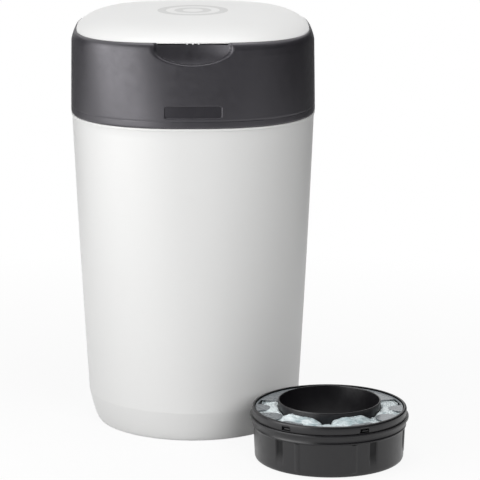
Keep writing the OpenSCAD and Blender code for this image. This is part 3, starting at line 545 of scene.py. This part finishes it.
def make_head():
    """One skin up the skirt, over the rolled rim, and down the inside past the ledge for the deck."""
    angles = angles_around(1.25, 0.27, reach=RECESS_REACH)
    angles += [math.atan2(HINGE_GAP_Y, side * (HINGE_GAP + shift))
               for side in (-1, 1) for shift in (-0.05, 0.05)]
    angles = sorted(a % (2 * math.pi) for a in angles)
    rows = [skirt_row(angles, HEAD_Z + up, inset) for up, inset in HEM]
    rows += [skirt_row(angles, PARTING_Z + up, inset) for up, inset in PARTING]
    # Close rows where the plate and the recess need them
    outside = spread(355, 370.6, 40) + spread(374, 402, 9) + spread(405, ROLL_Z, 44)
    rows += [skirt_row(angles, z, 0) for z in outside]
    rows += [[roll_point(a, share) for a in angles] for share in spread(0, 1, 34)[1:]]
    rows += [head_row(angles, MOUTH_HALF, LID_FULL, z, RECESS_WALL)
             for z in [RIM_H - 0.3] + spread(433, DECK_Z, 12)]
    ledge = [h - LEDGE_W for h in MOUTH_HALF]
    rows += [head_row(angles, ledge, LID_FULL, DECK_Z - down, RECESS_WALL) for down in (0, 1.5, 3)]
    rows += [skirt_row(angles, z, SKIRT_WALL, RECESS_WALL) for z in (415.5, 410, 405, 401, 380, 356)]
    inner = [h - SKIRT_WALL for h in HEAD_HALF]
    rows += [head_row(angles, inner, SKIRT_FULL, z, RECESS_WALL) for z in (353, HEAD_Z + 0.4)]
    build = bmesh.new()
    skin(build, rows, closed=True)
    head = new_piece("head_casing", build, charcoal_polypropylene, sharp=30)
    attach(head, "head")
    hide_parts("head_shell")


# Lid

BARREL_R = 5.3  # room for the hinge barrel along the lid's back
LID_SKIN = 2.4
# Underside and edge of the lid: share of the way out, height above the edge's foot, and inset
LIP = ((0.955, 0, 0), (1, 0, 0.35), (1, 0.12, 0.1), (1, 0.35, 0), (1, LID_EDGE - 0.05, 0),
       (1, LID_EDGE + 0.22, 0.12))
NUB_LOW = (-0.8, -120.6, 433.1)
NUB_HIGH = (0.8, -119.1, 434.7)
INLAY_RINGS = (("inlay_outer_ring", 38, 29), ("inlay_inner_ring", 20, 11))  # outer and inner radius
INLAY_H = 0.06


def crown_z(share):
    """Height of the lid's top at a share of the way from its centre to its edge."""
    return RIM_H + CROWN_H * (1 - share ** CROWN_POWER)


def lid_row(angles, share, z, inset=0.0):
    """A row of the lid, cut straight along its back to clear the hinge barrel."""
    def radius(angle):
        reach = outline(LID_HALF, LID_FULL, angle) * share - inset
        if math.sin(angle) > 0:
            reach = min(reach, (HINGE_Y - BARREL_R) / math.sin(angle))
        return reach
    return level_row(angles, radius, z)


def make_lid():
    """One skin out along the underside, round the lip, and back over the crown."""
    angles = angles_around(1.0)
    rows = [lid_row(angles, p, crown_z(p) - LID_SKIN) for p in (0.3, 0.5, 0.65, 0.78, 0.87, 0.93)]
    rows += [lid_row(angles, p, RIM_H - LID_EDGE + up, inset) for p, up, inset in LIP]
    shares = [0.99, 0.98, 0.965, 0.95] + spread(0.93, 0.5, 24) + [0.42, 0.34, 0.26, 0.18, 0.1, 0.04]
    rows += [lid_row(angles, p, crown_z(p)) for p in shares]
    build = bmesh.new()
    skin(build, rows)
    # Three little nubs under the edge, where a thumb finds it
    for x in (-6, 0, 6):
        across = Vector((x, 0, 0))
        round_box(build, Vector(NUB_LOW) + across, Vector(NUB_HIGH) + across, 0.35)
    lid = new_piece("lid_top", build, white_abs, sharp=40)
    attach(lid, "lid")
    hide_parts("lid_shell")


def make_inlay():
    """Two flat rings let into the lid's top, a hair proud of it."""
    angles = angles_around(3)
    for name, outer, inner in INLAY_RINGS:
        top = [(outer, 0.0), (outer - 0.05, 0.04), (outer - 0.25, INLAY_H), (inner + 0.25, INLAY_H),
               (inner + 0.05, 0.04), (inner, 0.0)]
        rows = [level_row(angles, r, crown_z(0) + up) for r, up in top]
        rows += [level_row(angles, r, crown_z(0) - 0.8) for r in (inner, outer)]
        build = bmesh.new()
        skin(build, rows, closed=True)
        ring = new_piece(name, build, grey_inlay)
        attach(ring, "lid")
        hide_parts("lid_motif")


# Film cassette

FLANGE_R = 83.6
FLANGE_Z = 43.5
FLANGE_TOP = 46.5
TUBE_R = 54.0
TUBE_WALL = 1.6
TUBE_H = 62.0
# Three panels round the trough's wall, in degrees from their left to their right end. A sunken channel
# lies past each end and a slim rib inside it, given in degrees from that end
PANELS = [(-128 + 120 * turn, -65 + 120 * turn) for turn in range(3)]
CHANNELS = ((-8.6, -2.2), (4.6, 10.8))
RIBS = ((9, 12.2), (-10.4, -6.6))
CHANNEL_SINK = 2.0
RIB_OUT = 0.9
WINDOW_ANGLES = [-126 + 60 * turn for turn in range(6)]
WINDOW_HALF = (5.0, 1.9)
WINDOW_Z = 49.3


def round_skin(name, profile, finish, relief=None, step=1.5, extras=None):
    """A turned piece of the cassette from its profile of (radius, height). relief is an extra radius
    worked out from the angle in degrees and the height, and extras adds blocks to the same mesh."""
    angles = angles_around(step)
    rows = []
    for radius, z in profile:
        push = (lambda a, r=radius, h=z: r + relief(math.degrees(a), h)) if relief else radius
        rows.append(level_row(angles, push, z, CASSETTE))
    build = bmesh.new()
    skin(build, rows, closed=True)
    if extras:
        extras(build)
    piece = new_piece(name, build, finish, sharp=30)
    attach(piece, "cassette")
    return piece


def off_angle(angle, middle):
    """Degrees from the middle, between -180 and 180."""
    return (angle - middle + 180) % 360 - 180


def band_step(angle, start, end, soft=0.7):
    """1 between two angles in degrees and 0 outside, with soft sides."""
    off = off_angle(angle, start)
    return ease(off, -soft, soft) * (1 - ease(off, end - start - soft, end - start + soft))


def tub_relief(angle, z):
    """How far the trough's wall stands out at its ribs, or in at its channels, which fade downwards."""
    if z < 4.5 or z > 34.7:
        return 0.0
    sink = CHANNEL_SINK * ease(z, 4, 26)
    relief = 0.0
    for ends in PANELS:
        for end, channel, rib in zip(ends, CHANNELS, RIBS):
            relief -= sink * band_step(angle, end + channel[0], end + channel[1])
            relief += RIB_OUT * band_step(angle, end + rib[0], end + rib[1])
    return relief


def placed_block(build, angle, low, high, edge):
    """A small rounded block on the cassette, given outwards, sideways and upwards at an angle."""
    before = len(build.verts)
    round_box(build, low, high, edge)
    build.verts.ensure_lookup_table()
    turn = math.radians(angle)
    for vert in build.verts[before:]:
        out, side, up = vert.co
        vert.co = Vector((CASSETTE[0] + out * math.cos(turn) - side * math.sin(turn),
                          CASSETTE[1] + out * math.sin(turn) + side * math.cos(turn), up))


def add_clips(build):
    """The trough's clips, each seen in a window of the collar and set a little to one side of it."""
    for angle in WINDOW_ANGLES:
        placed_block(build, angle, (77.6, -2.6, WINDOW_Z - 0.7), (80.9, 4.4, WINDOW_Z + 0.7), 0.3)


def make_tub():
    """The cassette's trough, with a rolled step and a flange under the wall that carries the collar."""
    rounded_foot = [(TUB_R - 2.6, 0), (TUB_R - 1.5, 0.3), (TUB_R - 0.6, 1.0), (TUB_R - 0.1, 2.2)]
    wall = [(TUB_R + TUB_SPREAD * z / TUB_WALL_H, z) for z in spread(4, 34.6, 32)]
    rolled_step = [(79.7, 34.8), (79.7, 35.0), (80.5, 35.3), (81.0, 35.9), (81.1, 36.5), (81.0, 37.1),
                   (80.6, 37.6), (80.4, 38.2), (80.4, 42.8), (80.6, 43.3), (81.2, FLANGE_Z)]
    flange = [(FLANGE_R - 0.6, FLANGE_Z), (FLANGE_R - 0.1, 43.9), (FLANGE_R, 44.6), (FLANGE_R, 45.4),
              (FLANGE_R - 0.2, 46.2), (FLANGE_R - 0.8, FLANGE_TOP), (77.8, FLANGE_TOP)]
    inside = [(77.8, 53.6), (76.6, 53.6), (76.6, 35), (76.2, 4), (75, 1.6), (55.6, 1.6), (55.6, 6),
              (54.1, 6), (54.1, 0)]
    profile = rounded_foot + wall + rolled_step + flange + inside
    tub = round_skin("cassette_trough", profile, cassette_polypropylene, tub_relief, 0.75, add_clips)
    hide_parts("cassette_tub")


def make_core():
    """The cassette's thin-walled tube, with a rounded top edge that catches a line of light."""
    bore = TUBE_R - TUBE_WALL
    edge = [(TUBE_R, 61.0), (TUBE_R - 0.1, 61.5), (TUBE_R - 0.4, 61.9), (TUBE_R - 0.8, TUBE_H),
            (bore + 0.4, 61.9), (bore + 0.1, 61.5), (bore, 61.0)]
    profile = [(bore, 0), (TUBE_R, 0), (TUBE_R, 30)] + edge + [(bore, 30)]
    core = round_skin("cassette_tube", profile, cassette_polypropylene)
    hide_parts("cassette_core")


def make_collar():
    """Collar over the trough's rim, with its clip windows cut through."""
    profile = [(79.9, 46.8), (81.5, 46.8), (81.6, 47.2), (81.5, 53.6), (81.3, 54.4), (80.8, 55.1),
               (80.1, 55.5), (78.7, 55.5), (78.4, 55.3), (78.3, 54.5), (78.5, 54.2), (79.9, 54.2)]
    collar = round_skin("cassette_ring", profile, cassette_polypropylene)
    build = bmesh.new()
    across, up = WINDOW_HALF
    for angle in WINDOW_ANGLES:
        placed_block(build, angle, (77.5, -across, WINDOW_Z - up), (83.5, across, WINDOW_Z + up), 0.2)
    cutter = new_piece("window_cutter", build, cassette_polypropylene)
    cut = collar.modifiers.new("windows", "BOOLEAN")
    cut.object = cutter
    cut.solver = "EXACT"
    bpy.context.view_layer.update()
    graph = bpy.context.evaluated_depsgraph_get()
    cut_mesh = bpy.data.meshes.new_from_object(collar.evaluated_get(graph))
    collar.modifiers.clear()
    collar.data = cut_mesh
    bpy.data.objects.remove(cutter)
    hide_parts("cassette_collar")


# The film and the guard that holds it down

GUARD_Z = 52.9
GUARD_T = 0.8
GUARD_OUT = 77.8
GUARD_IN = 76.2
GUARD_EDGE = 0.3  # how far its outer edge is raised
# Tongues of the guard: middle angle, half width in degrees, length, and how square the end is
TONGUES = ((180, 8.5, 14, 2.4), (-153, 10.5, 18, 2.4), (-5, 8.5, 14, 2.4), (-34, 10.5, 18, 2.4),
           (-124.5, 9.5, 8, 8), (-64.5, 9.5, 8, 8), (90, 68, 19.5, 14))
FILM_Z = 52.2
FILM_OUT = 76.2
# Its gathers: how high or deep they are, and how far apart
LOOSE_WAVES = (1.5, 12)
ROUND_FOLDS = (1.5, 3)
FOLD_BREAKS = 7  # how often a fold round the tube fades, for each radian that it runs
CREASES = (0.9, 3.4)
# Swells of the film against the tube: middle angle, half spread in degrees and rise
SWELLS = ((-125, 24, 5.2), (-68, 23, 5.8), (173, 18, 3.2), (-167, 12, 2.4), (2, 18, 3.2), (-20, 12, 2.4))
# Places where it dips out of sight: middle angle, half width, depth and the radius where the dip ends
DIPS = ((-95.5, 5.5, 7, 74), (160.5, 3.5, 8, 90), (10.5, 4, 8, 90))
# A fold of it that lies along the rim at the front
RIM_FOLD_ANGLE = -93
RIM_FOLD_H = 4.4


def guard_inner(angle):
    """Inner radius of the guard at an angle in degrees."""
    reach = 0.0
    for middle, half, length, square in TONGUES:
        off = abs(off_angle(angle, middle)) / half
        if off < 1:
            reach = max(reach, length * (1 - off ** square) ** (1 / square))
    return GUARD_IN - reach


def film_gathers(angle, r):
    """Loose waves, folds that run round the tube, and small creases."""
    turn = math.radians(angle)
    run = Vector((r * math.cos(turn), r * math.sin(turn), 0))
    waves = LOOSE_WAVES[0] * noise.noise(run / LOOSE_WAVES[1])
    folds = ROUND_FOLDS[0] * abs(noise.noise(Vector((r / ROUND_FOLDS[1], turn * FOLD_BREAKS, 2.5))))
    creases = CREASES[0] * abs(noise.noise(run / CREASES[1] + Vector((5, 1, 9))))
    return waves - folds - creases


def film_height(angle, r):
    """Height of the gathered film, which swells, dips, and is pressed flat by the tongues."""
    z = FILM_Z + film_gathers(angle, r)
    for middle, half, rise in SWELLS:
        off = abs(off_angle(angle, middle)) / half
        if off < 1:
            z += rise * (1 - off ** 3) * (1 - ease(r, 56.5, 72))
    for middle, half, depth, end in DIPS:
        off = abs(off_angle(angle, middle)) / half
        z -= depth * (1 - ease(off, 0.6, 1.1)) * (1 - ease(r, end - 1.5, end))
    off = abs(off_angle(angle, RIM_FOLD_ANGLE))
    z += RIM_FOLD_H * (1 - ease(off, 9, 15)) * ease(r, 71.5, 73.5) * (1 - ease(r, 75, 76))
    pressed = ease(r - guard_inner(angle), -1.2, 0.6)
    return z + (min(z, GUARD_Z - 0.2) - z) * pressed


def make_film():
    """Folded film that fills the trough, crumpled on top."""
    angles = angles_around(0.75)
    rows = [level_row(angles, r, z, CASSETTE)
            for r, z in ((56.2, 2), (74.8, 2), (FILM_OUT, 30), (76.4, 46))]
    for r in spread(FILM_OUT, 54.8, 36):
        rows.append([(x, y, film_height(math.degrees(a), r))
                     for a, (x, y, _) in zip(angles, level_row(angles, r, 0, CASSETTE))])
    rows.append(level_row(angles, 55.6, 44, CASSETTE))
    build = bmesh.new()
    skin(build, rows, closed=True)
    film = new_piece("folded_film", build, mint_film, sharp=60)
    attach(film, "cassette")
    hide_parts("film_pack")


def make_tongues():
    """Springy sheet with a raised edge and tongues that hold the film down."""
    angles = angles_around(0.5)

    def inner_row(z, inset):
        return level_row(angles, lambda a: guard_inner(math.degrees(a)) + inset, z, CASSETTE)
    top = GUARD_Z + GUARD_T
    rows = [level_row(angles, GUARD_OUT, GUARD_Z, CASSETTE),
            inner_row(GUARD_Z, 0), inner_row(top - 0.2, 0), inner_row(top, 0.2)]
    rows += [level_row(angles, GUARD_OUT - inset, z, CASSETTE)
             for inset, z in ((1.4, top), (1.2, top + GUARD_EDGE), (0.3, top + GUARD_EDGE), (0, top))]
    build = bmesh.new()
    skin(build, rows, closed=True)
    guard = new_piece("film_tongues", build, clear_grey_sheet)
    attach(guard, "cassette")
    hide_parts("film_guard")


# Studio

FLOOR_HALF = 8000.0
FLOOR_DROP = 0.2  # keeps it clear of the feet
SHADOW_EDGE = (0.25, 0.8)  # in metres: from here to there the floor's shadow fades to plain white
LIGHT_AIM = Vector((0, 0, 0.25))  # in metres
# Cards that only show in shiny faces: name, low and high corner, colour
CARDS = (("right_flag", (950, -1300, 5), (960, 2500, 1100), "#272727"),
         ("front_flag", (-350, -1310, 5), (945, -1300, 750), "#272727"),
         ("left_rear_flag", (-1360, 300, 5), (-1350, 2500, 1100), "#272727"),
         ("left_grey_card", (-610, 350, 5), (-600, 2500, 430), "#959595"),
         ("right_grey_card", (600, 250, 5), (610, 2500, 430), "#959595"))
# Lamps: name, azimuth, elevation, metres away, width and height in metres, watts. Shiny faces mirror the
# softboxes. The fills stand for very wide ones, which light the bin without a bright patch in its gloss
SOFTBOXES = (("left_softbox", -51, 11, 1.1, (1.2, 0.88), 9.8),
             ("top_softbox", 0, 82, 1.0, (0.7, 0.5), 2.7))
FILLS = (("front_fill", 25, 20, 2.4, (1.2, 1.2), 21),
         ("right_fill", 80, 45, 2.4, (1.2, 1.2), 5.5),
         ("back_fill", 175, 50, 2.4, (1.6, 1.2), 10),
         ("rear_fill", 175, 5, 2.4, (1.6, 1.0), 12))


def picture_rays(owner):
    """1 on rays that end up in the picture: from the lens, off a shiny face or through a clear one."""
    rays = add(owner, "ShaderNodeLightPath").outputs
    seen = rays["Is Camera Ray"]
    for kind in ("Is Glossy Ray", "Is Transmission Ray"):
        seen = add(owner, "ShaderNodeMath", {0: seen, 1: rays[kind]}, operation="MAXIMUM").outputs[0]
    return seen


def make_floor():
    """White floor that keeps a faint shadow near the bin, and throws back less light than it shows."""
    build = bmesh.new()
    bmesh.ops.create_grid(build, x_segments=1, y_segments=1, size=FLOOR_HALF)
    material = empty_material("studio_floor")
    away = add(material, "ShaderNodeVectorMath", {
        0: add(material, "ShaderNodeTexCoord").outputs["Object"]}, operation="LENGTH")
    bright = add(material, "ShaderNodeMapRange", {
        "Value": away.outputs["Value"], "From Min": SHADOW_EDGE[0], "From Max": SHADOW_EDGE[1],
        "To Min": 0.9, "To Max": 1.0})
    bounce = add(material, "ShaderNodeBsdfDiffuse", {"Color": linear("#a6a6a6")})
    shaded = add(material, "ShaderNodeBsdfDiffuse", {"Color": linear("#f9f9f9")})
    white = add(material, "ShaderNodeEmission", {"Color": linear("#ffffff"), "Strength": 1.0})
    shown = add(material, "ShaderNodeMixShader", {
        0: bright.outputs["Result"], 1: shaded.outputs["BSDF"], 2: white.outputs["Emission"]})
    mixed = add(material, "ShaderNodeMixShader", {
        0: picture_rays(material), 1: bounce.outputs["BSDF"], 2: shown.outputs["Shader"]})
    add(material, "ShaderNodeOutputMaterial", {"Surface": mixed.outputs["Shader"]})
    floor = new_piece("studio_floor", build, material)
    floor.location.z = -FLOOR_DROP * MM


def make_flags():
    """Black cards at the right, in front and at the left rear, and two low grey ones behind. They darken
    what shiny faces mirror, leave the left softbox to shine in the charcoal, and take no light away."""
    for name, low, high, shade in CARDS:
        material = empty_material(name)
        cloth = add(material, "ShaderNodeBsdfDiffuse", {"Color": linear(shade)})
        add(material, "ShaderNodeOutputMaterial", {"Surface": cloth.outputs["BSDF"]})
        build = bmesh.new()
        round_box(build, low, high, 1)
        flag = new_piece(name, build, material)
        flag.visible_camera = False
        flag.visible_diffuse = False
        flag.visible_shadow = False


def light_world():
    """Dim even light from the room, and a white backdrop. Shiny faces mirror the backdrop behind,
    beside and above the bin, and a dark room in front of it."""
    world = bpy.data.worlds.new("studio_room")
    bpy.context.scene.world = world
    world.use_nodes = True
    world.node_tree.nodes.clear()
    room = add(world, "ShaderNodeBackground", {"Color": linear("#ffffff"), "Strength": 0.04})
    away = add(world, "ShaderNodeSeparateXYZ", {0: add(world, "ShaderNodeTexCoord").outputs["Generated"]})
    behind = add(world, "ShaderNodeMapRange", {
        "Value": away.outputs["Y"], "From Min": -0.6, "From Max": -0.3, "To Min": 0.02, "To Max": 1.0})
    direct = add(world, "ShaderNodeMath", {
        0: add(world, "ShaderNodeLightPath").outputs["Is Glossy Ray"], 1: -1.0, 2: 1.0},
        operation="MULTIPLY_ADD")
    white = add(world, "ShaderNodeMath", {
        0: behind.outputs["Result"], 1: direct.outputs[0]}, operation="MAXIMUM")
    backdrop = add(world, "ShaderNodeBackground", {
        "Color": linear("#ffffff"), "Strength": white.outputs[0]})
    mix = add(world, "ShaderNodeMixShader", {
        0: picture_rays(world), 1: room.outputs[0], 2: backdrop.outputs[0]})
    add(world, "ShaderNodeOutputWorld", {"Surface": mix.outputs[0]})


def softbox(name, azimuth, elevation, distance, size, power, mirrored):
    """A lamp that faces the bin. Azimuth 0 is in front, and negative is to the left."""
    data = bpy.data.lights.new(name, "AREA")
    data.shape = "RECTANGLE"
    data.size, data.size_y = size
    data.energy = power
    light = bpy.data.objects.new(name, data)
    bpy.context.scene.collection.objects.link(light)
    turn, rise = math.radians(azimuth), math.radians(elevation)
    away = Vector((math.sin(turn) * math.cos(rise), -math.cos(turn) * math.cos(rise), math.sin(rise)))
    light.location = LIGHT_AIM + away * distance
    light.rotation_euler = away.to_track_quat("Z", "Y").to_euler()
    light.visible_glossy = mirrored


bpy.context.scene.view_settings.view_transform = "Standard"
aim_camera()
make_floor()
light_world()
make_flags()
for lamp in SOFTBOXES:
    softbox(*lamp, mirrored=True)
for lamp in FILLS:
    softbox(*lamp, mirrored=False)
dress_nodes()
make_bucket()
make_head()
make_lid()
make_inlay()
make_tub()
make_core()
make_collar()
make_film()
make_tongues()
